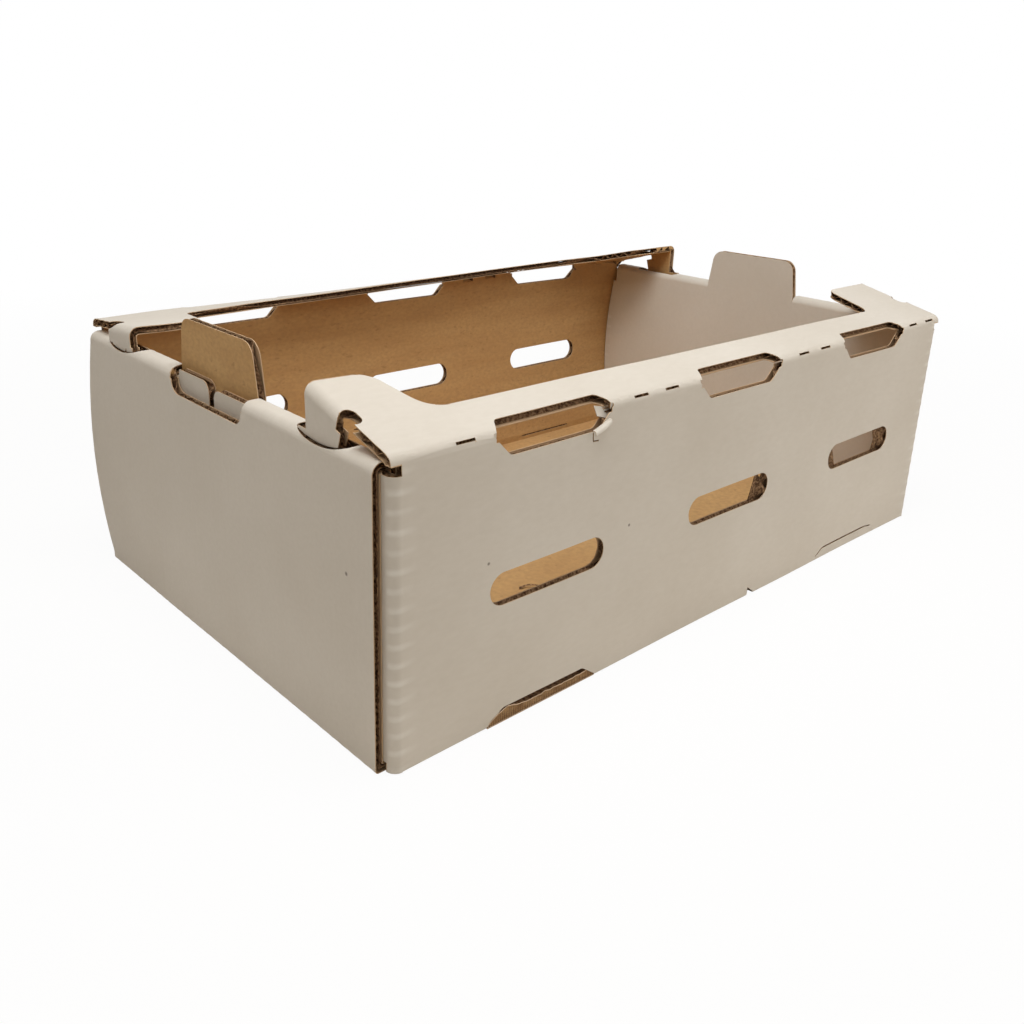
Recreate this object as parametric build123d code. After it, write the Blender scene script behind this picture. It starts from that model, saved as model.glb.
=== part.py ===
from build123d import *
import os
from math import cos, degrees, radians, sin

os.makedirs("parts", exist_ok=True)

# Frame: millimetres, origin at the middle of the underside, +X along the length, +Z up.
# The tray is one die-cut sheet of corrugated board, so it is built panel by panel round
# its folds and joined into one solid. Boards that only touch each other stay LAY apart.

# Board and folds
BOARD = 4.5                 # thickness of the corrugated board
LAY = 0.3                   # air between two boards that lie against each other
FOLD = BOARD + 1.0          # outer radius of a scored fold
TIGHT = BOARD + 0.5         # outer radius where the end wall turns down inside
FOOT = 2.0                  # outer radius of the folds round the bottom, creased sharp

# Overall form
LENGTH = 500.0              # over the outer faces of the end walls
WIDTH = 308.4               # over the outer faces of the long sides
HINGE = 156.4               # height of the fold line between a long side and its flange
END_TOP = 153.0             # top of the end walls
SEAM = 10.0                 # height up to which both long sides stand upright
HALF_L, HALF_W = LENGTH / 2, WIDTH / 2

# End wall, three boards deep: outer panel, corner flaps, inner panel
END_HALF = HALF_W - 7.2                   # half length of the end wall
FLAP_X = HALF_L - BOARD - LAY             # outer face of the corner flaps
PANEL_X = FLAP_X - BOARD - LAY            # outer face of the inner panel
INNER_X = PANEL_X - BOARD                 # inward face of the inner panel
SIDE_END = FLAP_X - FOLD                  # where the flat of a long side ends
PANEL_FOOT = BOARD + 1.0                  # bottom edge of the inner panel and of the flaps
FLAP_TOP = END_TOP - BOARD - LAY          # top edge of the corner flaps
CORNER_TOP = 147.5                        # top of the fold between side and corner flap
FLAP_GAP = (-0.8, 4.5)                    # gap between the two flaps of one end wall
FLAP_LIFT = (1.6, 4.0)                    # how far they stand up inside the slot
FLARE_START, FLARE = 70.0, 5.3            # the near end wall bows out towards the rear

# Stacking tab, stamped out of the end wall, and the slot it leaves
TAB_ROOT, TAB_TIP = (-38.7, 43.9), (-34.6, 40.2)          # its two edges, low and high
TAB_TOP, TAB_ROUND = 180.0, 9.0
SLOT_HALF, SLOT_LOW, SLOT_ROUND = 39.4, 140.0, 7.0

# Flanges: narrow along the side, wide gussets at both ends
FLANGE, GUSSET = 27.0, 64.0
# Where the gussets step down to the flange, (at -X, at +X): edge x, root x, two rounds
FRONT_STEP = ((35 - HALF_L, 45.5 - HALF_L, 12.0, 15.0), (HALF_L - 58, HALF_L - 61, 8.0, 7.0))
REAR_STEP = ((49 - HALF_L, 55 - HALF_L, 9.0, 9.0), (HALF_L - 52, HALF_L - 57, 9.0, 9.0))

# Locking tongues folded down from the gussets, and the notches that take them
TONGUE_OUT, TONGUE_REACH, TONGUE_ROUND = 32.6, 30.0, 8.0
KEYHOLE = 4.4
NOTCH_Y, NOTCH_HALF, NOTCH_DROP = 104.0, 20.7, 3.7

# Openings of the long sides
SPREAD, SHIFT = 99.1, 2.3   # from the ends to the outer openings, and all of them towards +X
PITCH = HALF_L - SPREAD
OVAL_L, OVAL_H, OVAL_Z, REAR_OVAL_Z = 79.0, 17.6, 76.0, 78.2
BOAT_TIP, BOAT_LOW, BOAT_FLANGE = 40.0, 29.5, 33.5        # half lengths
BOAT_DROP, BOAT_IN = 143.2, 9.0
FOOT_TIP, FOOT_HIGH, FOOT_RISE = 40.0, 28.7, 8.7
DASHES = (43 - HALF_L, -PITCH / 2 - 13.5, -PITCH / 2 + 11.5, PITCH / 2 - 11.5, PITCH / 2 + 13.5,
          HALF_L - 45, HALF_L - 21)
DASH_L, DASH_W = 11.0, 1.4

# Form of the two long sides in the photograph, as stations along the side: fraction of
# its half length, bulge at mid height, bulge at the top, flange rise in degrees, and how
# much higher than HINGE its fold line lies.
FRONT = ((-1.0, 0.0, 0.0, 17.0, 0.0), (1.0, 0.0, 0.0, 13.5, 0.0))
REAR = ((-1.0, 3.5, 0.6, 5.0, 3.0), (-0.55, 7.5, 11.8, 6.5, 0.9), (0.0, 8.0, 10.8, 12.2, 0.3),
        (0.6, 7.2, 11.2, 14.0, 1.8), (1.0, 7.0, -2.0, 16.0, 3.0))
# Outer ends of the gussets and outer faces of the tongues, (at -X, at +X)
FRONT_ENDS = ((HALF_L - 4.7, HALF_L - 2.5), (HALF_L - 4.7, HALF_L - 2.5))
REAR_ENDS = ((HALF_L - 5.4, HALF_L - 2.0), (HALF_L - 4.7, HALF_L - 2.5))


def shape(points, rounds=()):
    """Flat outline from points, with some of its corners rounded."""
    face = make_face(Polyline(*points, close=True))
    for point, size in rounds:
        face = fillet(face.vertices().sort_by_distance(point)[0], size)
    return face


def band(points, radii, turn):
    """Section of the board whose outer line runs through points, rounded at its folds."""
    dirs = [Vector(*b) - Vector(*a) for a, b in zip(points, points[1:])]
    left = [Vector(-d.Y, d.X).normalized() * turn for d in dirs]
    inner = []
    for i, point in enumerate(points):
        both = left[max(i - 1, 0)] + left[min(i, len(left) - 1)]
        inner.append(tuple(Vector(*point) + both * (2 * BOARD / both.dot(both))))
    rounds = list(zip(points[1:-1], radii))
    rounds += [(p, size - BOARD) for p, size in zip(inner[1:-1], radii) if size > BOARD]
    return shape(list(points) + [p[:2] for p in reversed(inner)], rounds)


def along_x(face, start, end):
    """Run a (Y, Z) outline along X."""
    return extrude(Plane.YZ.offset(start) * face, end - start)


def along_y(face, start, end):
    """Run an (X, Z) outline along Y."""
    return extrude(Plane.XZ.offset(-end) * face, end - start)


def along_z(face, start, end):
    """Run an (X, Y) outline along Z."""
    return extrude(Plane.XY.offset(start) * face, end - start)


def block(x0, x1, y0, y1, z0, z1):
    """Box between two corners."""
    size = abs(x1 - x0), abs(y1 - y0), abs(z1 - z0)
    return Pos((x0 + x1) / 2, (y0 + y1) / 2, (z0 + z1) / 2) * Box(*size)


def form_at(form, x):
    """Bulges, flange rise and lift of a long side at x."""
    k = min(max(x / SIDE_END, -1.0), 1.0)
    for a, b in zip(form, form[1:]):
        if k <= b[0]:
            t = (k - a[0]) / (b[0] - a[0])
            return tuple(p + (q - p) * t for p, q in zip(a[1:], b[1:]))


class Hinge:
    """Fold line between a long side and its flange, at one place along the side."""

    def __init__(self, side, mid, top, rise, lift):
        self.y, self.z, self.side, self.mid = side * (HALF_W + top), HINGE + lift, side, mid
        self.inward = (-side * cos(radians(rise)), sin(radians(rise)))
        self.up = (side * sin(radians(rise)), cos(radians(rise)))
        self.low = self.z - FOLD * (1 - sin(radians(rise))) / cos(radians(rise))
        self.half = radians((90 + rise) / 2)

    def ring(self, radius):
        """Three points of the fold's arc, from the side up to the flange."""
        cy = self.y - self.side * FOLD
        return ((cy + self.side * radius, self.low),
                (cy + self.side * radius * cos(self.half), self.low + radius * sin(self.half)),
                (cy + self.up[0] * radius, self.low + self.up[1] * radius))

    def on_flange(self, along, deep=0.0):
        """Point on the flange, at a distance from the fold line and below its top."""
        return (self.y + self.inward[0] * along - self.up[0] * deep,
                self.z + self.inward[1] * along - self.up[1] * deep)


def side_outline(x, hinge, with_wall=True, reach=GUSSET):
    """Outline of a long side and its flange at x, or of the flange and its fold alone."""
    def at(p):
        return Vector(x, *p)

    def wall(deep):
        ends = (hinge.side * (HALF_W - deep), SEAM), hinge.ring(FOLD - deep)[0]
        if not hinge.mid:
            return Edge.make_line(at(ends[0]), at(ends[1]))
        belly = hinge.side * (HALF_W + hinge.mid - deep), OVAL_Z
        return Edge.make_three_point_arc(at(ends[0]), at(belly), at(ends[1]))

    outer, inner = hinge.ring(FOLD), hinge.ring(FOLD - BOARD)
    edges = [Edge.make_three_point_arc(*map(at, outer)),
             Edge.make_line(at(outer[2]), at(hinge.on_flange(reach))),
             Edge.make_line(at(hinge.on_flange(reach)), at(hinge.on_flange(reach, BOARD))),
             Edge.make_line(at(hinge.on_flange(reach, BOARD)), at(inner[2])),
             Edge.make_three_point_arc(*map(at, reversed(inner)))]
    if with_wall:
        foot = [at((hinge.side * (HALF_W - deep), SEAM)) for deep in (0.0, BOARD)]
        edges += [wall(0.0), wall(BOARD), Edge.make_line(*foot)]
    else:
        edges.append(Edge.make_line(at(inner[0]), at(outer[0])))
    return Face(Wire(edges))


def flange_plan(side, form):
    """Plan of a flange with its gussets, in (X, Y)."""
    def at(x, along):
        return x, Hinge(side, *form_at(form, x)).on_flange(along)[0]

    (left, left_root, r1, r2), (right, right_root, r3, r4) = FRONT_STEP if side < 0 else REAR_STEP
    corners = (at(left, GUSSET - 1), at(left_root, FLANGE),
               at(right_root, FLANGE), at(right, GUSSET - 1))
    inner = [at(f[0] * SIDE_END, FLANGE) for f in form[1:-1]]
    edge = side * (HALF_W + 30)
    points = [(-HALF_L - 10, edge), at(-HALF_L - 10, GUSSET), corners[0], corners[1], *inner,
              corners[2], corners[3], at(HALF_L + 10, GUSSET), (HALF_L + 10, edge)]
    return shape(points, list(zip(corners, (r1, r2, r4, r3))))


def corner_outline(side, end_form, deep, low, high):
    """Area in (Y, Z) between the middle of the end wall and the profile of a long side."""
    hinge = Hinge(side, *end_form)
    foot, top = side * (HALF_W - deep), hinge.ring(FOLD - deep)[0]
    wall = [Edge.make_line((foot, -5), (foot, SEAM))]
    if hinge.mid:
        wall.append(Edge.make_three_point_arc((foot, SEAM), (foot + side * hinge.mid, OVAL_Z), top))
    else:
        wall.append(Edge.make_line((foot, SEAM), top))
    wall += [Edge.make_line(top, (0, top[1])), Edge.make_line((0, top[1]), (0, -5)),
             Edge.make_line((0, -5), (foot, -5))]
    return Face(Wire(wall)) & make_face(
        Polyline((-400, low), (400, low), (400, high), (-400, high), close=True))


def corner(side, end, end_form):
    """Vertical fold at one end of a long side, with its corner flap."""
    bodies = []
    for deep in (0.0, BOARD):
        outline = corner_outline(side, end_form, deep, 0.8 - deep, CORNER_TOP + deep)
        body = along_x(outline, *sorted((end * (SIDE_END - 12), end * (FLAP_X - deep))))
        tall = [e for e in body.edges() if abs(e.center().X - end * (FLAP_X - deep)) < 0.01
                and abs(e.center().Y) > HALF_W - 15 and e.bounding_box().size.Z > 5]
        bodies.append(fillet(tall, FOLD - deep))
    lip = side * (END_HALF + 0.3)
    gap = FLAP_GAP[0] if side < 0 else FLAP_GAP[1]
    lift = FLAP_TOP + (FLAP_LIFT[0] if side < 0 else FLAP_LIFT[1])
    rise = side * (SLOT_HALF - 2.5)
    flap = shape([(gap, PANEL_FOOT), (gap, lift), (rise, lift), (rise + side * 1.5, FLAP_TOP),
                  (lip, FLAP_TOP), (lip, CORNER_TOP + 1), (side * (HALF_W + 40), CORNER_TOP + 1),
                  (side * (HALF_W + 40), -1), (side * (HALF_W - FOLD), -1),
                  (side * (HALF_W - FOLD), PANEL_FOOT)], [((gap, lift), 6.0)])
    keep = along_x(flap, *sorted((end * SIDE_END, end * HALF_L)))
    if FLAP_TOP > CORNER_TOP:
        bodies[0] = bodies[0] + block(end * (FLAP_X - BOARD), end * FLAP_X, gap, lip,
                                      CORNER_TOP - 5, lift)
    return (bodies[0] - bodies[1]) & keep


def tongue(side, end, end_form, face_x):
    """Locking tongue folded down from the end of a gusset."""
    hinge = Hinge(side, *end_form)
    out, up = Vector(end, 0, 0), Vector(0, *hinge.up)
    inward = Vector(0, *hinge.inward)
    middle = Vector(0, *hinge.on_flange((TONGUE_OUT + GUSSET) / 2))
    section = band([(SIDE_END, 0), (face_x, 0), (face_x, -TONGUE_REACH)], [FOLD], -1)
    plate = extrude(Plane(middle, x_dir=out, z_dir=out.cross(up)) * section,
                    (GUSSET - TONGUE_OUT) / 2, both=True)
    half = (GUSSET - TONGUE_OUT) / 2
    plan = shape([(-half, 5), (half, 5), (half, -TONGUE_REACH), (-half, -TONGUE_REACH)],
                 [((end_x, -TONGUE_REACH), TONGUE_ROUND) for end_x in (-half, half)])
    plate &= extrude(Plane(middle, x_dir=inward, z_dir=inward.cross(up)) * plan, 300, both=True)
    plate &= notch_tool(side, LAY)
    return plate


def notch_tool(side, less=0.0):
    """Cylinder across the end walls that scoops the notch of one locking tongue."""
    radius = (NOTCH_HALF ** 2 + NOTCH_DROP ** 2) / (2 * NOTCH_DROP)
    place = Pos(0, side * NOTCH_Y, END_TOP - NOTCH_DROP + radius) * Rot(0, 90, 0)
    return place * Cylinder(radius - less, LENGTH + 40)


def keyhole(side, end, end_form, end_x):
    """Relief hole where a tongue's fold meets the free end of the gusset."""
    hinge = Hinge(side, *end_form)
    y, z = hinge.on_flange(TONGUE_OUT)
    where = Plane((end * (end_x - 1.5), y, z), z_dir=(0, *hinge.up))
    return extrude(where * SlotOverall(KEYHOLE * 2 + 3, KEYHOLE * 2), 8, both=True)


def long_side(side, form, ends):
    """One long side from the seam up, with its flange, corner flaps and tongues."""
    outlines = [side_outline(f[0] * SIDE_END, Hinge(side, *f[1:])) for f in form]
    body = loft(outlines, ruled=len(form) < 3)
    for end, f, (end_x, face_x) in zip((-1, 1), (form[0], form[-1]), ends):
        piece = side_outline(end * SIDE_END, Hinge(side, *f[1:]), with_wall=False, reach=TONGUE_OUT)
        body += extrude(piece, end_x - SIDE_END, dir=(end, 0, 0))
        body += tongue(side, end, f[1:], face_x)
    plan = flange_plan(side, form)
    lower = block(-HALF_L - 9, HALF_L + 9, -HALF_W - 60, HALF_W + 60, 0, HINGE - 3)
    body = (body & along_z(plan, HINGE - 3, 240)) + (body & lower)
    for end, f, (end_x, face_x) in zip((-1, 1), (form[0], form[-1]), ends):
        body -= keyhole(side, end, f[1:], end_x)
        body += corner(side, end, f[1:])
    return body


def tab(end):
    """Stacking tab, standing in the plane of the inner panel."""
    (r0, r1), (t0, t1) = TAB_ROOT, TAB_TIP
    outline = shape([(r0, SLOT_LOW + 3), (r0, END_TOP), (t0, TAB_TOP),
                     (t1, TAB_TOP), (r1, END_TOP), (r1, SLOT_LOW + 3)],
                    [((t0, TAB_TOP), TAB_ROUND), ((t1, TAB_TOP), TAB_ROUND)])
    return along_x(outline, *sorted((end * INNER_X, end * PANEL_X)))


def slot_tool(end):
    """What the stacking tab leaves open: a slot in the outer panel and the strip on top."""
    r0, r1 = TAB_ROOT
    front = shape([(-SLOT_HALF + 2, SLOT_LOW), (SLOT_HALF - 2, SLOT_LOW), (SLOT_HALF, END_TOP + 9),
                   (-SLOT_HALF, END_TOP + 9)],
                  [((-SLOT_HALF, SLOT_LOW), SLOT_ROUND), ((SLOT_HALF, SLOT_LOW), SLOT_ROUND)])
    strip = shape([(end * (INNER_X - 3), r0), (end * PANEL_X, r0),
                   (end * HALF_L, -SLOT_HALF + 0.3), (end * HALF_L, SLOT_HALF - 0.3),
                   (end * PANEL_X, r1), (end * (INNER_X - 3), r1)])
    return (along_x(front, *sorted((end * (PANEL_X + 0.2), end * (HALF_L + 9))))
            + along_z(strip, END_TOP - FOLD, END_TOP + 9))


def flared(y):
    """Section in (X, Z) of the near end wall's outer panel at y, bowed out by its flare."""
    low, high = FOLD, END_TOP - FOLD
    bow = FLARE * max(0.0, (y - FLARE_START) / (END_HALF - FLARE_START))

    def at(x, z):
        return Vector(-x, y, z)

    def face_line(x):
        if not bow:
            return Edge.make_line(at(x, low), at(x, high))
        return Edge.make_three_point_arc(at(x, low), at(x + bow, OVAL_Z), at(x, high))

    outer, inner = HALF_L, HALF_L - BOARD
    return Face(Wire([face_line(outer), face_line(inner),
                      Edge.make_line(at(outer, low), at(inner, low)),
                      Edge.make_line(at(outer, high), at(inner, high))]))


def end_wall(end):
    """End wall with its bottom: up outside, over the top, and down again inside."""
    line = [(0, 0), (end * HALF_L, 0), (end * HALF_L, END_TOP), (end * INNER_X, END_TOP),
            (end * INNER_X, END_TOP - 15)]
    body = along_y(band(line, [FOOT, FOLD, TIGHT], end), -END_HALF, END_HALF)
    # The inner panel fills the room between the long sides, whose profile its edges follow.
    for side, form in ((-1, FRONT), (1, REAR)):
        area = corner_outline(side, form[0 if end < 0 else -1][1:], BOARD + 1.2,
                              PANEL_FOOT, END_TOP - 15)
        body += along_x(area, *sorted((end * INNER_X, end * PANEL_X)))
    if end < 0:
        body -= block(-HALF_L - 1, -HALF_L + BOARD, FLARE_START, END_HALF + 1, FOLD, END_TOP - FOLD)
        body += loft([flared(FLARE_START), flared(END_HALF)], ruled=True)
    body -= slot_tool(end)
    for side in (-1, 1):
        body -= notch_tool(side) & block(end * (INNER_X + 2.6), end * (HALF_L + 9),
                                         -HALF_W, HALF_W, 140, 300)
    return body + tab(end)


def bottom():
    """Bottom panel between the two long sides, with the folds that carry them."""
    line = [(-HALF_W, SEAM), (-HALF_W, 0), (HALF_W, 0), (HALF_W, SEAM)]
    return along_x(band(line, [FOOT, FOOT], 1), -SIDE_END, SIDE_END)


def openings(side, form):
    """Hand holes, and the boat-shaped cut-outs at the fold of the flange."""
    boat = shape([(-BOAT_TIP, HINGE + 4), (-BOAT_TIP, HINGE - 2.5), (-BOAT_LOW, BOAT_DROP),
                  (BOAT_LOW, BOAT_DROP), (BOAT_TIP, HINGE - 2.5), (BOAT_TIP, HINGE + 4)],
                 [((-BOAT_LOW, BOAT_DROP), 5.0), ((BOAT_LOW, BOAT_DROP), 5.0)])
    tools = []
    for k in (-1, 0, 1):
        x = SHIFT + k * PITCH
        hinge = Hinge(side, *form_at(form, x))
        outer = side * (HALF_W + 30)
        oval = Pos(x, OVAL_Z if side < 0 else REAR_OVAL_Z) * SlotOverall(OVAL_L, OVAL_H)
        tools.append(along_y(oval, *sorted((side * (HALF_W - 15), outer))))
        tools.append(along_y(Pos(x, 0) * boat, *sorted((hinge.on_flange(1)[0], outer))))
        through = along_y(Pos(x, 0) * boat, *sorted((hinge.on_flange(BOARD + 1.5)[0], outer)))
        tools.append(through & block(-HALF_L, HALF_L, -HALF_W - 60, HALF_W + 60,
                                     BOAT_DROP - 1, HINGE - FOLD + 0.1))
        y0, y1 = hinge.on_flange(-2)[0], hinge.on_flange(BOAT_IN)[0]
        inward = shape([(x - BOAT_TIP, y0), (x - BOAT_FLANGE, y1), (x + BOAT_FLANGE, y1),
                        (x + BOAT_TIP, y0)],
                       [((x - BOAT_FLANGE, y1), 4.0), ((x + BOAT_FLANGE, y1), 4.0)])
        tools.append(along_z(inward, HINGE - FOLD, HINGE + 9))
    for dash in DASHES:
        hinge = Hinge(side, *form_at(form, SHIFT + dash))
        y, z = hinge.on_flange(0)
        slit = Rot(side * degrees(hinge.half), 0, 0) * Box(DASH_L, 16, DASH_W)
        tools.append(Pos(SHIFT + dash, y, z) * slit)
    return tools


def feet():
    """Half-boats at the bottom fold: stamped free in one place, only slit in the others."""
    tools = []
    for side in (-1, 1):
        for k in (-1, 0, 1):
            x = SHIFT + k * PITCH
            wall = shape([(x - FOOT_TIP, -2), (x - FOOT_TIP, 0.5), (x - FOOT_HIGH, FOOT_RISE),
                          (x + FOOT_HIGH, FOOT_RISE), (x + FOOT_TIP, 0.5), (x + FOOT_TIP, -2)],
                         [((x - FOOT_HIGH, FOOT_RISE), 4.0), ((x + FOOT_HIGH, FOOT_RISE), 4.0)])
            whole = along_y(wall, *sorted((side * (HALF_W - BOARD), side * (HALF_W + 1))))
            if k < 0:
                tools.append(whole)
            elif k == 0:
                tools.append(whole & block(x + FOOT_HIGH + 3, x + 60, -HALF_W - 5, HALF_W + 5,
                                           -3, 9))
            else:
                tools.append(whole & block(x - 50, x + 50, -HALF_W - 5, HALF_W + 5,
                                           FOOT_RISE - 1.2, FOOT_RISE + 1))
    return tools


def tray():
    """The whole folded sheet."""
    body = bottom() + end_wall(-1) + end_wall(1)
    for side, form, ends in ((-1, FRONT, FRONT_ENDS), (1, REAR, REAR_ENDS)):
        wall = long_side(side, form, ends)
        for tool in openings(side, form):
            wall -= tool
        body += wall
    for tool in feet():
        body -= tool
    return body


export_step(tray(), "parts/tray.step")
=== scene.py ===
"""Corrugated cardboard tray box, dressed for the render.

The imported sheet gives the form. Here its two liners, its fluting and the places where the
board is torn get their finish. Everything is in metres, in the frame of the part: origin in
the middle of the underside, X along the length, the visible long side at -Y.
"""
from math import cos, pi, radians, sin

import bmesh
import bpy
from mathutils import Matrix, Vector, noise
from mathutils.bvhtree import BVHTree


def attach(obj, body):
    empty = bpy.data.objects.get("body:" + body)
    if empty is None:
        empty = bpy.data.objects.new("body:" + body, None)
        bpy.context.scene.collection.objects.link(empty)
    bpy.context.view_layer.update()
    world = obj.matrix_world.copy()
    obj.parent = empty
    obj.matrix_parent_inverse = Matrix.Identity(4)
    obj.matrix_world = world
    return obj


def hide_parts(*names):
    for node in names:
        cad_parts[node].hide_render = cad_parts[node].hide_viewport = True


MM = 0.001
NODE = "tray"                   # the folded sheet, one solid

# Board
BOARD = 4.5 * MM                # thickness of the corrugated board
LINER = 0.45 * MM               # thickness of each of its two liners
MEDIUM = 0.3 * MM               # thickness of the fluted paper between them
FLUTE = 9.2 * MM                # pitch of the fluting
RIPPLE = 0.05 * MM              # washboard that the fluting leaves in the liners
FOLD_RIB = 0.1 * MM             # the same at the upright folds, where the board is crushed
WARP = 0.5 * MM                 # slow drift of the board from its true form
WARP_SIZE = 90 * MM             # size of the waves of this drift
WARP_FOOT = 40 * MM             # height up to which it is held back, as the tray stands flat
WARP_PLACE = Vector((3.1, 0.7, 5.2))    # part of the noise that it takes
WARP_SEED = 5                   # seed of this noise, so that the drift is always the same

# How finely the sheet is divided
RIPPLE_STEP = FLUTE / 4         # across the flutes
PANEL_STEP = 19.4 * MM          # along them
FLUTE_STEP = 0.75 * MM          # along the cut edges, for the fluting
FLUTE_RINGS = 3                 # rings of faces in which the fluting runs in from there
RECESS = 9.0 * MM               # and how deep it runs in
EDGE_BACK = 0.1 * MM            # its setback from the cut
WELD = 0.002 * MM               # vertices closer than this are one
SLIM = 0.01 * MM                # faces narrower than this are none
ON_LINE = 0.005 * MM            # vertices this close to a score line lie on it

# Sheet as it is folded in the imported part
END_TOP = 153.0 * MM            # top of the end walls
INNER_X = 235.9 * MM            # inner face of the end walls' inner panels
PANEL_X = 240.4 * MM            # outer face of these panels
FLAP_X = 245.2 * MM             # outer face of the corner flaps
SIDE_END = 239.7 * MM           # where the upright folds of the long sides begin
NOTCH_Y = 104.0 * MM            # middle of the scooped notches
NOTCH_HALF = 21.5 * MM          # half their width, with a little room
NOTCH_DROP = 0.05 * MM          # their floor lies further than this below the top

# Finish of a face: the board's two sides and its cut edges
WHITE, KRAFT, EDGE = range(3)
SIDE_ANGLE = radians(38)        # one side of the board bends less than this from face to face
FLAT_ANGLE = radians(0.4)       # faces that bend less than this are one
SHARP_ANGLE = radians(32)       # edges that bend more than this are shaded sharp
FACING = 0.7                    # share of a normal from which a face looks along an axis
UPWARD = 0.9                    # the same for a face that looks straight up
SIDEWAYS = 0.3                  # and for one that has begun to turn sideways round a fold
THIN, THICK = 0.8 * BOARD, 1.25 * BOARD     # between these, two faces back each other
UNDER_FACE = 0.02 * MM          # depth from which the face behind is looked for

# Dark specks on the white side: place and radius
SPECKS = ((Vector((-250.0, -126.9, 95.3)) * MM, 1.3 * MM),
          (Vector((-189.7, -154.2, 91.9)) * MM, 1.1 * MM),
          (Vector((-89.7, -154.2, 84.1)) * MM, 1.1 * MM))
SPECK_CORE, SPECK_DARKNESS = 0.4, 0.75      # share of the radius that is darkest, and how dark

# Pale bands beside the upright folds, painted highlight on the ribs of the fluting and partly
# rubbed liner: where they fade in from nothing to full
HIGHLIGHT_SCUFF_INNER = (231 * MM, 241 * MM)          # along the length, from the middle outwards
HIGHLIGHT_SCUFF_OUTER = (246.5 * MM, 244.5 * MM)      # and from the ends inwards
HIGHLIGHT_SCUFF_SIDE = (149 * MM, 150.5 * MM)         # across, up to the long sides
HIGHLIGHT_SCUFF_STRENGTH = 0.7

# Where the board is cut and torn, in millimetres
FRONT_Y = -154.2                # outside of the visible long side
CRUSH = 1.25                    # pitch of the crushed ribs at the first foot
CRUSH_DEPTH = 0.35              # and how far they stand out
# First foot's raw edge: place along the front and height of its torn liner
FOOT_TOP = ((-187.5, 2.4), (-181.0, 6.0), (-174.0, 8.2), (-167.0, 6.2), (-160.0, 5.3),
            (-150.0, 5.3), (-147.5, 6.2), (-145.0, 5.3), (-129.0, 5.2), (-113.0, 5.7),
            (-109.5, 4.6))
# Loose sliver: x, y and its height above the bottom panel
SLIVER = ((-78.4, -61.1, 0.2), (-72.6, -62.3, 1.2), (-68.7, -65.5, 1.4), (-66.0, -69.0, 0.9),
          (-64.7, -71.5, 0.0))
# Tears in the front, below the first vent and at both ends of the third foot's slit: start
# and end as (x, z), and width
TEARS = (((-123.0, 142.6), (-122.7, 138.2), 0.8), ((-122.9, 138.1), (-118.6, 137.8), 0.7),
         ((116.2, 3.4), (123.9, 8.0), 1.0), ((182.5, 8.0), (190.5, 6.9), 0.9))

# Camera of the photograph: place in millimetres, turn in degrees, framing of its picture
CAMERA_PLACE = (-471.789, -462.803, 296.230)
CAMERA_TURN = (70.18022, -1.87903, -42.78887)
SENSOR, LENS = 36.0, 35.036
SHIFT = (0.00283, -0.05498)

# Lamps: name, place, aim, size, power and colour
DAYLIGHT, LAMPLIGHT = (0.965, 0.99, 1.0), (1.0, 0.945, 0.87)
MIDDLE, FAR_CORNER = (0.0, 0.0, 0.08), (0.25, 0.12, 0.08)
LAMPS = (("overhead_light", (-0.16, -0.1, 1.0), MIDDLE, (0.4, 0.4), 2.6, DAYLIGHT),
         ("inside_light", (-0.08, -0.19, 0.8), FAR_CORNER, (0.3, 0.3), 1.5, DAYLIGHT),
         ("near_end_light", (-0.5, -0.15, 0.9), MIDDLE, (0.6, 0.6), 2.6, LAMPLIGHT),
         ("front_light", (0.75, -0.65, 0.7), MIDDLE, (0.5, 0.5), 2.5, LAMPLIGHT),
         ("window_light", (-1.3, -1.6, 1.5), MIDDLE, (1.4, 1.4), 1.0, LAMPLIGHT),
         ("low_light", (0.9, -1.2, 0.3), MIDDLE, (1.0, 0.5), 2.0, LAMPLIGHT))
FLOOR_SIZE = 60.0
FLOOR_COLOUR = (0.90, 0.86, 0.80)
SURROUND_COLOUR, SURROUND_STRENGTH = (1.0, 0.93, 0.85), 0.21
# The floor is seen as plain white by this share, near the tray and from here on outwards
SHADOW_NEAR, SHADOW_FAR = 0.4, 1.1
WHITE_NEAR, WHITE_FAR = 0.95, 1.0


def settings(node, **values):
    """Set inputs of a node. An underscore in a name stands for a space."""
    for name, value in values.items():
        node.inputs[name.replace("_", " ")].default_value = value


def wire(tree, source, node, name):
    tree.links.new(source, node.inputs[name])


def paper(name, colour, roughness, specular):
    """Plain material, with its shader set directly."""
    material = bpy.data.materials.new(name)
    material.use_nodes = True
    material.diffuse_color = (*colour, 1)
    shader = material.node_tree.nodes["Principled BSDF"]
    settings(shader, Base_Color=(*colour, 1), Roughness=roughness, Specular_IOR_Level=specular)
    return material


def paint(tree, colour):
    """Give the shader a colour that changes over the surface."""
    wire(tree, colour, tree.nodes["Principled BSDF"], "Base Color")


def object_place(tree):
    """Coordinates of the object, on which every pattern lies."""
    return tree.nodes.new("ShaderNodeTexCoord").outputs["Object"]


def axes_of(tree, place):
    """The three coordinates of a place, by name."""
    split = tree.nodes.new("ShaderNodeSeparateXYZ")
    wire(tree, place, split, "Vector")
    return split.outputs


def reckon(tree, operation, *values):
    """One sum on sockets and numbers."""
    node = tree.nodes.new("ShaderNodeMath")
    node.operation = operation
    for index, value in enumerate(values):
        if isinstance(value, float):
            node.inputs[index].default_value = value
        else:
            tree.links.new(value, node.inputs[index])
    return node.outputs["Value"]


def share(tree, source, start, end, low=0.0, high=1.0):
    """Carry a value over from one range to another, and stop at its ends."""
    node = tree.nodes.new("ShaderNodeMapRange")
    settings(node, From_Min=start, From_Max=end, To_Min=low, To_Max=high)
    wire(tree, source, node, "Value")
    return node.outputs["Result"]


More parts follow.
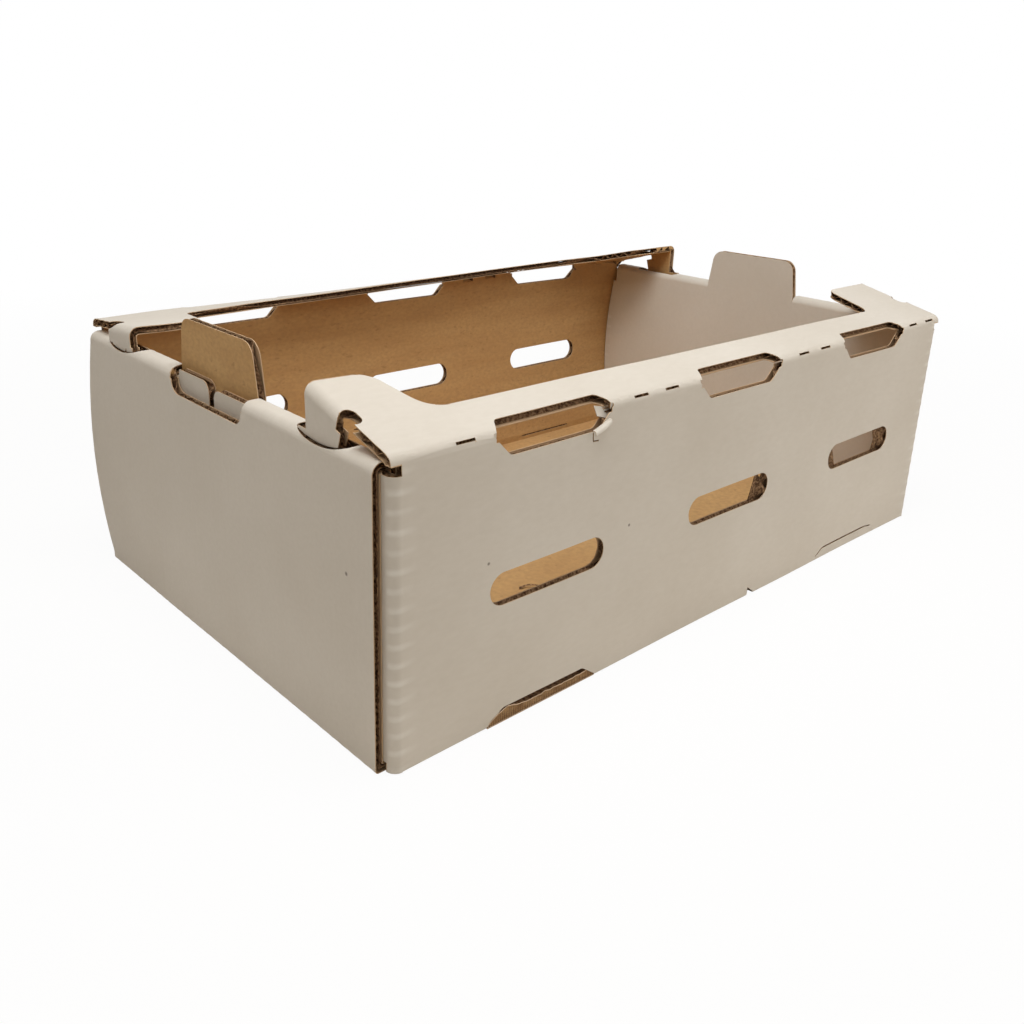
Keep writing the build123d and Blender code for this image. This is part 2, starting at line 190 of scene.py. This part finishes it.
def mottle(tree, place, scale, stretch=(1, 1, 1), low=0.0, high=1.0, detail=4.0, span=(0.3, 0.7)):
    """Noise on object coordinates, as a factor between two values."""
    stretched = tree.nodes.new("ShaderNodeMapping")
    settings(stretched, Scale=stretch)
    wire(tree, place, stretched, "Vector")
    cloud = tree.nodes.new("ShaderNodeTexNoise")
    settings(cloud, Scale=scale, Detail=detail)
    wire(tree, stretched.outputs["Vector"], cloud, "Vector")
    return share(tree, cloud.outputs["Fac"], *span, low, high)


def colour_mix(tree, factor, tone):
    """Mix of colours by a factor, with its second tone."""
    mix = tree.nodes.new("ShaderNodeMix")
    mix.data_type = "RGBA"
    settings(mix, B=(*tone, 1))
    wire(tree, factor, mix, "Factor")
    return mix


def tint(tree, factor, dark, light):
    """Colour between two tones."""
    mix = colour_mix(tree, factor, light)
    settings(mix, A=(*dark, 1))
    return mix.outputs["Result"]


def blend(tree, factor, colour, tone):
    """Lay another tone over a colour, by a factor."""
    mix = colour_mix(tree, factor, tone)
    wire(tree, colour, mix, "A")
    return mix.outputs["Result"]


def speck(tree, place, centre, radius):
    """Factor of a small dark spot round one place on the sheet."""
    away = tree.nodes.new("ShaderNodeVectorMath")
    away.operation = "DISTANCE"
    tree.links.new(place, away.inputs[0])
    away.inputs[1].default_value = centre
    away = away.outputs["Value"]
    return share(tree, away, SPECK_CORE * radius, radius, SPECK_DARKNESS, 0.0)


def rib_highlights_and_scuffs(tree, place):
    """Factor of the pale bands beside the upright folds: painted highlight on the ribs of the
    fluting, partly rubbed liner.
    """
    axes = axes_of(tree, place)
    out, side = (reckon(tree, "ABSOLUTE", axes[axis]) for axis in "XY")
    # a pale band painted on the crest of each rib, as its highlight
    rib = reckon(tree, "SINE", reckon(tree, "MULTIPLY", axes["Z"], 2 * pi / FLUTE))
    uneven = mottle(tree, place, 130.0, stretch=(0.4, 1, 1), low=0.1)
    factor = reckon(tree, "MULTIPLY", share(tree, rib, 0.2, 1.0), uneven)
    for distance, fade in ((out, HIGHLIGHT_SCUFF_INNER), (out, HIGHLIGHT_SCUFF_OUTER), (side, HIGHLIGHT_SCUFF_SIDE)):
        factor = reckon(tree, "MULTIPLY", factor, share(tree, distance, *fade))
    return reckon(tree, "MULTIPLY", factor, HIGHLIGHT_SCUFF_STRENGTH)


def white_liner():
    """Coated paper: slightly clouded, with painted highlights and rubbing on the fold ribs, and the
    dark specks that it carries.
    """
    material = paper("white_liner", (0.66, 0.61, 0.54), 0.62, 0.25)
    tree = material.node_tree
    place = object_place(tree)
    clouds = mottle(tree, place, 9.0)
    colour = tint(tree, clouds, (0.635, 0.58, 0.505), (0.70, 0.65, 0.58))
    fibres = mottle(tree, place, 420.0, stretch=(0.4, 1, 1), high=0.10, detail=6.0)
    colour = blend(tree, fibres, colour, (0.45, 0.39, 0.31))
    # painted highlight on the fold ribs, partly rubbed liner
    colour = blend(tree, rib_highlights_and_scuffs(tree, place), colour, (0.84, 0.81, 0.75))
    for centre, radius in SPECKS:
        colour = blend(tree, speck(tree, place, centre, radius), colour, (0.10, 0.07, 0.05))
    paint(tree, colour)
    return material


def kraft_liner():
    """Brown paper with streaks along the board, fine grain and darker fibres."""
    material = paper("kraft_liner", (0.55, 0.33, 0.14), 0.75, 0.2)
    tree = material.node_tree
    place = object_place(tree)
    streaks = mottle(tree, place, 60.0, stretch=(0.15, 0.3, 1))
    colour = tint(tree, streaks, (0.52, 0.305, 0.127), (0.62, 0.39, 0.172))
    grain = mottle(tree, place, 500.0, stretch=(0.6, 0.6, 1), high=0.45, detail=6.0)
    colour = blend(tree, grain, colour, (0.38, 0.225, 0.105))
    fibres = mottle(tree, place, 420.0, stretch=(0.5, 0.5, 1), high=0.3, detail=3.0,
                    span=(0.62, 0.72))
    colour = blend(tree, fibres, colour, (0.24, 0.13, 0.06))
    paint(tree, colour)
    return material


def cut_edge():
    """Raw rim of a liner, lighter than its kraft face."""
    return paper("cut_edge", (0.60, 0.42, 0.26), 0.85, 0.15)


def torn_edge():
    """Fresh torn rim of a liner, pale with loose fibres."""
    return paper("torn_edge", (0.74, 0.56, 0.40), 0.9, 0.1)


def board_core():
    """Fluted paper between the liners."""
    material = paper("board_core", (0.44, 0.27, 0.15), 0.9, 0.1)
    tree = material.node_tree
    ragged = mottle(tree, object_place(tree), 650.0, detail=3.0, span=(0.38, 0.66))
    paint(tree, tint(tree, ragged, (0.09, 0.048, 0.026), (0.40, 0.25, 0.14)))
    return material


def crushed_core():
    """Fluting crushed at the first foot's raw edge: pale ribs, with painted shade in the gaps
    between.
    """
    material = paper("crushed_core", (0.45, 0.28, 0.14), 0.85, 0.1)
    tree = material.node_tree
    place = object_place(tree)
    patches = mottle(tree, place, 150.0)
    colour = tint(tree, patches, (0.42, 0.25, 0.125), (0.66, 0.45, 0.25))
    turn = reckon(tree, "MULTIPLY", axes_of(tree, place)["X"], 2 * pi / (CRUSH * MM))
    # painted shade in the gaps between the crushed ribs, at the pitch of the ribs
    painted_gap_shade = share(tree, reckon(tree, "SINE", turn), -0.2, 0.9)
    colour = blend(tree, reckon(tree, "MULTIPLY", painted_gap_shade, 0.8), colour, (0.12, 0.065, 0.035))
    paint(tree, colour)
    return material


def in_scoop(face):
    """Whether a face is the cut floor of a scooped notch. It bends away from the top of the end
    wall so gently that it would pass for white liner."""
    centre = face.calc_center_median()
    in_notch = abs(centre.x) > INNER_X and abs(abs(centre.y) - NOTCH_Y) < NOTCH_HALF
    return in_notch and centre.z < END_TOP - NOTCH_DROP and face.normal.z > UPWARD


def finish_white(mesh):
    """White liner: all that can be reached from the underside without crossing a cut edge."""
    underside = min(mesh.faces, key=lambda f: (round(f.calc_center_median().z, 5), f.normal.z))
    underside.material_index = WHITE
    stack = [underside]
    while stack:
        face = stack.pop()
        for edge in face.edges:
            if len(edge.link_faces) != 2 or abs(edge.calc_face_angle_signed(0)) > SIDE_ANGLE:
                continue
            other = next(f for f in edge.link_faces if f is not face)
            if other.material_index != WHITE and not in_scoop(other):
                other.material_index = WHITE
                stack.append(other)


def finish_kraft(mesh):
    """Kraft liner: all that has white liner behind it, a board's thickness away."""
    tree = BVHTree.FromBMesh(mesh)
    for face in mesh.faces:
        if face.material_index == WHITE:
            continue
        below = face.calc_center_median() - face.normal * UNDER_FACE
        _, _, index, depth = tree.ray_cast(below, -face.normal, THICK)
        if index is not None and depth > THIN and mesh.faces[index].material_index == WHITE:
            face.material_index = KRAFT


def finished_sheet(node):
    """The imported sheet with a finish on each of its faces."""
    sheet = bmesh.new()
    sheet.from_mesh(node.data)
    bmesh.ops.remove_doubles(sheet, verts=sheet.verts, dist=WELD)
    bmesh.ops.dissolve_degenerate(sheet, edges=sheet.edges, dist=SLIM)
    sheet.normal_update()
    sheet.faces.ensure_lookup_table()
    for face in sheet.faces:
        face.material_index = EDGE
    finish_white(sheet)
    finish_kraft(sheet)
    return sheet


def side_of(sheet, finish):
    """One side of the board as an open skin."""
    skin = sheet.copy()
    others = [f for f in skin.faces if f.material_index != finish]
    bmesh.ops.delete(skin, geom=others, context="FACES")
    bmesh.ops.dissolve_limit(skin, angle_limit=FLAT_ANGLE, verts=skin.verts, edges=skin.edges,
                             use_dissolve_boundaries=False)
    for face in skin.faces:
        face.material_index = 0
    return skin


def flutes_level(point, normal):
    """Whether the flutes lie level and follow each other upwards. They run along X in the flat
    sheet, so they do in the long sides and in the corner flaps, and stand in the end walls."""
    on_flap = PANEL_X < abs(point.x) < FLAP_X + LINER and point.z < END_TOP
    return abs(normal.y) > FACING or (on_flap and abs(normal.x) > FACING)


def flute_phase(point, normal):
    """Place across the flutes."""
    return point.z if flutes_level(point, normal) else point.y


def cut_lines(skin, faces, axis, step):
    """Score lines across an axis, a step apart, through some faces of a skin."""
    normal = Vector([float(k == axis) for k in range(3)])
    low = min(v.co[axis] for f in faces for v in f.verts)
    high = max(v.co[axis] for f in faces for v in f.verts)
    line = (int(low / step) - 1) * step
    while line < high:
        line += step
        faces = [f for f in faces if max(v.co[axis] for v in f.verts) > line + SLIM]
        crossed = [f for f in faces if min(v.co[axis] for v in f.verts) < line - SLIM]
        if not crossed:
            continue
        parts = set(crossed)
        for face in crossed:
            parts.update(face.edges)
            parts.update(face.verts)
        done = bmesh.ops.bisect_plane(skin, geom=list(parts), dist=ON_LINE, plane_no=normal,
                                      plane_co=normal * line)
        known = set(faces)
        faces += [g for g in done["geom"] if isinstance(g, bmesh.types.BMFace) and g not in known]


def score_skin(skin):
    """Divide a skin finely across its flutes and coarsely along them."""
    def level(face):
        return flutes_level(face.calc_center_median(), face.normal)

    x, y, z = range(3)
    cut_lines(skin, [f for f in skin.faces if level(f)], z, RIPPLE_STEP)
    cut_lines(skin, [f for f in skin.faces if not level(f)], y, RIPPLE_STEP)
    cut_lines(skin, list(skin.faces), x, PANEL_STEP)
    upright = [f for f in skin.faces if abs(f.normal.z) <= FACING and not level(f)]
    cut_lines(skin, upright, z, PANEL_STEP)


def warp(point):
    """Slow drift of the board from its true form, the same for both liners and the fluting."""
    drift = noise.noise_vector(point / WARP_SIZE + WARP_PLACE)
    held = min(1.0, max(0.0, point.z / WARP_FOOT))
    return Vector((drift.x, drift.y, drift.z * held)) * WARP


def ripple(skin):
    """Washboard of the fluting in the liner, and the slight warp of the whole board."""
    skin.normal_update()
    moves = {}
    for v in skin.verts:
        wave = cos(2 * pi * flute_phase(v.co, v.normal) / FLUTE)
        near_end = SIDE_END - 2 * MM < abs(v.co.x) < FLAP_X + MM
        height = FOLD_RIB if near_end and abs(v.normal.y) > SIDEWAYS else RIPPLE
        if v.co.z < LINER:      # the underside stands flat on the floor
            height = 0.0
        moves[v] = v.normal * wave * height + warp(v.co)
    for v, move in moves.items():
        v.co += move


def refine_rim(skin, step):
    """Split the long edges of the rim, until none is longer than two steps."""
    for cuts in (31, 15, 7, 3, 1):
        rim = [e for e in skin.edges if e.is_boundary and e.calc_length() > (cuts + 1) * step]
        if rim:
            bmesh.ops.subdivide_edges(skin, edges=rim, cuts=cuts)


def rim_ring(skin, strip):
    """Start a strip with the rim of a skin. Each vertex keeps its way in from the cut edge."""
    start, inward, ring = {}, {}, []
    for edge in [e for e in skin.edges if e.is_boundary]:
        loop = edge.link_loops[0]
        along = loop.link_loop_next.vert.co - loop.vert.co
        into = loop.face.normal.cross(along).normalized()
        for v in edge.verts:
            if v not in start:
                start[v] = strip.verts.new(v.co)
                inward[start[v]] = Vector()
            inward[start[v]] += into
        ring.append(strip.edges.new([start[v] for v in edge.verts]))
    return ring, inward


def next_ring(strip, ring, inward):
    """Extrude a ring once more. Each new vertex takes the way in of the one it comes from."""
    made = bmesh.ops.extrude_edge_only(strip, edges=ring)["geom"]
    deeper = {}
    for v in {g for g in made if isinstance(g, bmesh.types.BMVert)}:
        old = next(e.other_vert(v) for e in v.link_edges if e.other_vert(v) in inward)
        deeper[v] = inward[old]
    return [g for g in made if isinstance(g, bmesh.types.BMEdge)], deeper


def fluting_mesh(white):
    """The fluted medium between the liners, as far in as one sees it at the cut edges."""
    outside = BVHTree.FromBMesh(white)
    skin = white.copy()
    refine_rim(skin, FLUTE_STEP)
    skin.normal_update()
    strip = bmesh.new()
    ring, inward = rim_ring(skin, strip)
    rings = [inward]
    for _ in range(FLUTE_RINGS):
        ring, inward = next_ring(strip, ring, inward)
        rings.append(inward)
    swing = (BOARD - 2 * LINER - MEDIUM) / 2
    for step, verts in enumerate(rings):
        depth = step * RECESS / FLUTE_RINGS + EDGE_BACK
        for v, into in verts.items():
            place, normal, _, _ = outside.find_nearest(v.co + into.normalized() * depth)
            wave = sin(2 * pi * flute_phase(place, normal) / FLUTE)
            v.co = place - normal * (BOARD / 2 + swing * wave) + warp(place)
    skin.free()
    return strip


def tear(skin, start, end, width):
    """Narrow tear through the front liner between two places (x, z), all in millimetres."""
    start, end = (Vector((x * MM, 0, z * MM)) for x, z in (start, end))
    along = (end - start).normalized()
    across = Vector((-along.z, 0, along.x))
    middle = (start + end) / 2
    half_length, half_width = (end - start).length / 2, width * MM / 2
    skin.normal_update()

    def from_middle(face):
        away = face.calc_center_median() - middle
        away.y = 0
        return away

    def near(face):
        return face.normal.y < -FACING and from_middle(face).length < half_length + PANEL_STEP

    for normal, place in ((across, middle + across * half_width),
                          (across, middle - across * half_width), (along, start), (along, end)):
        parts = set()
        for face in skin.faces:
            if near(face):
                parts.update((face, *face.edges, *face.verts))
        bmesh.ops.bisect_plane(skin, geom=list(parts), dist=ON_LINE, plane_no=normal,
                               plane_co=place)
    gone = []
    for face in skin.faces:
        away = from_middle(face)
        inside = abs(away.dot(across)) < half_width and abs(away.dot(along)) < half_length
        if inside and near(face):
            gone.append(face)
    bmesh.ops.delete(skin, geom=gone, context="FACES")


def station(stations, way):
    """Values at a share of the way through a list of (place, value, ...) stations."""
    place = stations[0][0] + (stations[-1][0] - stations[0][0]) * way
    for a, b in zip(stations, stations[1:]):
        if place <= b[0] or b is stations[-1]:
            t = (place - a[0]) / (b[0] - a[0])
            return [p + (q - p) * t for p, q in zip(a, b)]


def bent_paper(columns, rows, form):
    """Scrap of paper: a grid laid out in millimetres by a formula of its two shares, 0 to 1."""
    scrap = bmesh.new()
    bmesh.ops.create_grid(scrap, x_segments=columns, y_segments=rows, size=0.5)
    for v in scrap.verts:
        v.co = Vector(form(v.co.x + 0.5, v.co.y + 0.5)) * MM
    return scrap


def foot_edge():
    """Raw edge of the bottom panel where the first foot is stamped free: its crushed core,
    the torn liner over it and the white liner under it."""
    depth, floor_gap = 4.2, 0.5

    def core(u, v):
        x, top = station(FOOT_TOP, u)
        crush = CRUSH_DEPTH * cos(2 * pi * (x + 0.7 * v) / CRUSH)
        return x, FRONT_Y + 0.5 + crush + 0.5 * v * v, 0.45 + (top - 0.6) * v

    def cover(u, v):
        x, top = station(FOOT_TOP, u)
        ragged = 0.35 * noise.noise(Vector((x * 0.35, 0, 4.0)))
        return x, FRONT_Y + 0.05 + ragged + (depth - ragged) * v, top + 0.3 * ragged - 0.6 * v

    def under(u, v):
        x, _ = station(FOOT_TOP, u)
        return x, FRONT_Y + 0.1 + depth * v, floor_gap

    return bent_paper(240, 4, core), bent_paper(80, 3, cover), bent_paper(40, 2, under)


def torn_curl():
    """Strip of white liner torn off the first vent's lower corner and bent outwards."""
    root_x, root_z, run, fall, stand = -112.0, 147.9, 11.4, 4.4, 2.8

    def form(u, v):
        bend = sin(v * pi / 2)
        x = root_x - run * u - 0.8 * v
        z = root_z - fall * u ** 0.8 + 0.5 * sin(pi * v) - 1.5 * v * v
        return x, FRONT_Y - 0.1 - (stand + 0.5 * sin(3 * u)) * bend, z
    return bent_paper(12, 5, form)


def hanging_scrap():
    """Stamped-out scrap that still hangs in the right end of the first vent, turned inwards."""
    right_x, low_z, run, rise, height = -107.6, 146.4, 9.0, 2.4, 5.6

    def form(u, v):
        x = right_x - run * u
        z = low_z + rise * u + (height - 0.7 * u) * v
        return x, FRONT_Y + 2.2 + 1.8 * u + 2.6 * v - 0.5 * sin(pi * u), z
    return bent_paper(8, 6, form)


def loose_sliver():
    """Torn sliver of fluted paper that stands up from the bottom panel."""
    width = 1.1

    def form(u, v):
        x, y, rise = station(SLIVER, u)
        side = width * (1 - u) ** 0.5 * (v - 0.5)
        return x + 0.6 * side, y + side, BOARD / MM + 0.4 + rise + 0.8 * v * (1 - u)
    return bent_paper(16, 2, form)


def add_piece(name, mesh, materials):
    """Make a mesh a piece of the tray, shaded smooth between its sharp edges."""
    data = bpy.data.meshes.new(name)
    mesh.normal_update()
    for face in mesh.faces:
        face.smooth = True
    for edge in mesh.edges:
        edge.smooth = len(edge.link_faces) == 2 and edge.calc_face_angle(0) < SHARP_ANGLE
    mesh.to_mesh(data)
    mesh.free()
    piece = bpy.data.objects.new(name, data)
    bpy.context.scene.collection.objects.link(piece)
    for material in materials:
        data.materials.append(material)
    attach(piece, "root")
    return piece


def thicken(piece, thickness, offset, inner=0, rim=0):
    """Give a skin the thickness of its paper, and its far side and rim their materials."""
    solid = piece.modifiers.new("paper", "SOLIDIFY")
    solid.thickness = thickness
    solid.offset = offset
    solid.use_even_offset = False
    solid.material_offset = inner
    solid.material_offset_rim = rim


def weigh_normals(piece):
    """Keep large faces flat in the shading."""
    weight = piece.modifiers.new("even_shading", "WEIGHTED_NORMAL")
    weight.keep_sharp = True


def make_scraps(white, medium, rim):
    """Pieces of paper that are crushed, torn or loose, each from its own small grid."""
    foot_core, foot_cover, foot_under = foot_edge()
    scraps = ((add_piece("foot_core", foot_core, [crushed_core()]), MEDIUM),
              (add_piece("foot_torn_liner", foot_cover, [medium, torn_edge()]), LINER),
              (add_piece("foot_white_liner", foot_under, [white, rim]), LINER),
              (add_piece("torn_curl", torn_curl(), [white, rim]), LINER),
              (add_piece("hanging_scrap", hanging_scrap(), [white, rim]), LINER),
              (add_piece("loose_sliver", loose_sliver(), [medium]), MEDIUM))
    for scrap, thickness in scraps:
        thicken(scrap, thickness, 0, rim=len(scrap.data.materials) - 1)
    return [scrap for scrap, _ in scraps]


def dress_tray(node):
    """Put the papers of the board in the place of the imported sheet."""
    white, kraft, rim, medium = white_liner(), kraft_liner(), cut_edge(), board_core()
    sheet = finished_sheet(node)
    outer_skin, inner_skin = side_of(sheet, WHITE), side_of(sheet, KRAFT)
    sheet.free()
    fluting = add_piece("fluted_medium", fluting_mesh(outer_skin), [medium])
    thicken(fluting, MEDIUM, 0)
    for skin in (outer_skin, inner_skin):
        score_skin(skin)
    for start, end, width in TEARS:
        tear(outer_skin, start, end, width)
    for skin in (outer_skin, inner_skin):
        ripple(skin)
    outer = add_piece("white_liner", outer_skin, [white, rim])
    inner = add_piece("kraft_liner", inner_skin, [kraft, rim])
    for liner in (outer, inner):
        thicken(liner, LINER, -1, inner=1, rim=1)
        weigh_normals(liner)
    for piece in (outer, inner, fluting, *make_scraps(white, medium, rim)):
        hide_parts(NODE)


def make_camera():
    """Camera of the photograph."""
    data = bpy.data.cameras.new("photo_camera")
    data.sensor_width, data.lens = SENSOR, LENS
    data.shift_x, data.shift_y = SHIFT
    camera = bpy.data.objects.new("photo_camera", data)
    camera.location = [value * MM for value in CAMERA_PLACE]
    camera.rotation_euler = [radians(value) for value in CAMERA_TURN]
    bpy.context.scene.collection.objects.link(camera)
    bpy.context.scene.camera = camera


def area_light(name, place, aim, size, power, colour):
    """Soft rectangular lamp at a place, turned to its aim."""
    data = bpy.data.lights.new(name, "AREA")
    data.shape = "RECTANGLE"
    data.size, data.size_y = size
    data.energy = power
    data.color = colour
    lamp = bpy.data.objects.new(name, data)
    lamp.location = place
    lamp.rotation_euler = (Vector(aim) - Vector(place)).to_track_quat("-Z", "Y").to_euler()
    bpy.context.scene.collection.objects.link(lamp)


def seen_rays(tree):
    """One for the rays by which the surround is seen, straight or in a shiny surface."""
    rays = tree.nodes.new("ShaderNodeLightPath").outputs
    either = reckon(tree, "MAXIMUM", rays["Is Camera Ray"], rays["Is Glossy Ray"])
    return reckon(tree, "MAXIMUM", either, rays["Is Transmission Ray"])


def mix_shaders(tree, factor, first, second, output):
    """Mix two shaders by a factor, as the output of a material or the world."""
    mix = tree.nodes.new("ShaderNodeMixShader")
    wire(tree, factor, mix, "Fac")
    tree.links.new(first, mix.inputs[1])
    tree.links.new(second, mix.inputs[2])
    wire(tree, mix.outputs["Shader"], tree.nodes[output], "Surface")


def seen_white(tree):
    """Show the floor mostly as plain white, with a light shadow left in it near the tray."""
    plain = tree.nodes.new("ShaderNodeEmission")
    settings(plain, Color=(1, 1, 1, 1), Strength=1.0)
    away = tree.nodes.new("ShaderNodeVectorMath")
    away.operation = "LENGTH"
    tree.links.new(object_place(tree), away.inputs[0])
    part = share(tree, away.outputs["Value"], SHADOW_NEAR, SHADOW_FAR, WHITE_NEAR, WHITE_FAR)
    part = reckon(tree, "MULTIPLY", seen_rays(tree), part)
    mix_shaders(tree, part, tree.nodes["Principled BSDF"].outputs["BSDF"],
                plain.outputs["Emission"], "Material Output")


def make_floor():
    """Wide pale floor on which the tray stands."""
    mesh = bmesh.new()
    bmesh.ops.create_grid(mesh, x_segments=1, y_segments=1, size=FLOOR_SIZE)
    data = bpy.data.meshes.new("studio_floor")
    mesh.to_mesh(data)
    mesh.free()
    floor = bpy.data.objects.new("studio_floor", data)
    bpy.context.scene.collection.objects.link(floor)
    material = paper("studio_floor", FLOOR_COLOUR, 0.9, 0.0)
    data.materials.append(material)
    seen_white(material.node_tree)


def make_surround():
    """Even pale light from all round, seen as plain white."""
    world = bpy.data.worlds.new("studio")
    world.use_nodes = True
    tree = world.node_tree
    glow = tree.nodes["Background"]
    settings(glow, Color=(*SURROUND_COLOUR, 1), Strength=SURROUND_STRENGTH)
    plain = tree.nodes.new("ShaderNodeBackground")
    settings(plain, Color=(1, 1, 1, 1), Strength=1.0)
    mix_shaders(tree, seen_rays(tree), glow.outputs["Background"], plain.outputs["Background"],
                "World Output")
    bpy.context.scene.world = world


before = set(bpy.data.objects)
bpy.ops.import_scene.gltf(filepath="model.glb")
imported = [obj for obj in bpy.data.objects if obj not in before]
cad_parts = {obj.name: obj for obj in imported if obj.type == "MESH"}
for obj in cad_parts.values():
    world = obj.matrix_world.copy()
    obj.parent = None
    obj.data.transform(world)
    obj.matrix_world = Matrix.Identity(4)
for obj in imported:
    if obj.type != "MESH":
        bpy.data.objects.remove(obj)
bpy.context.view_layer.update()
bpy.context.scene.view_settings.view_transform = "Standard"
make_camera()
make_floor()
make_surround()
for lamp in LAMPS:
    area_light(*lamp)
noise.seed_set(WARP_SEED)
dress_tray(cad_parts[NODE])
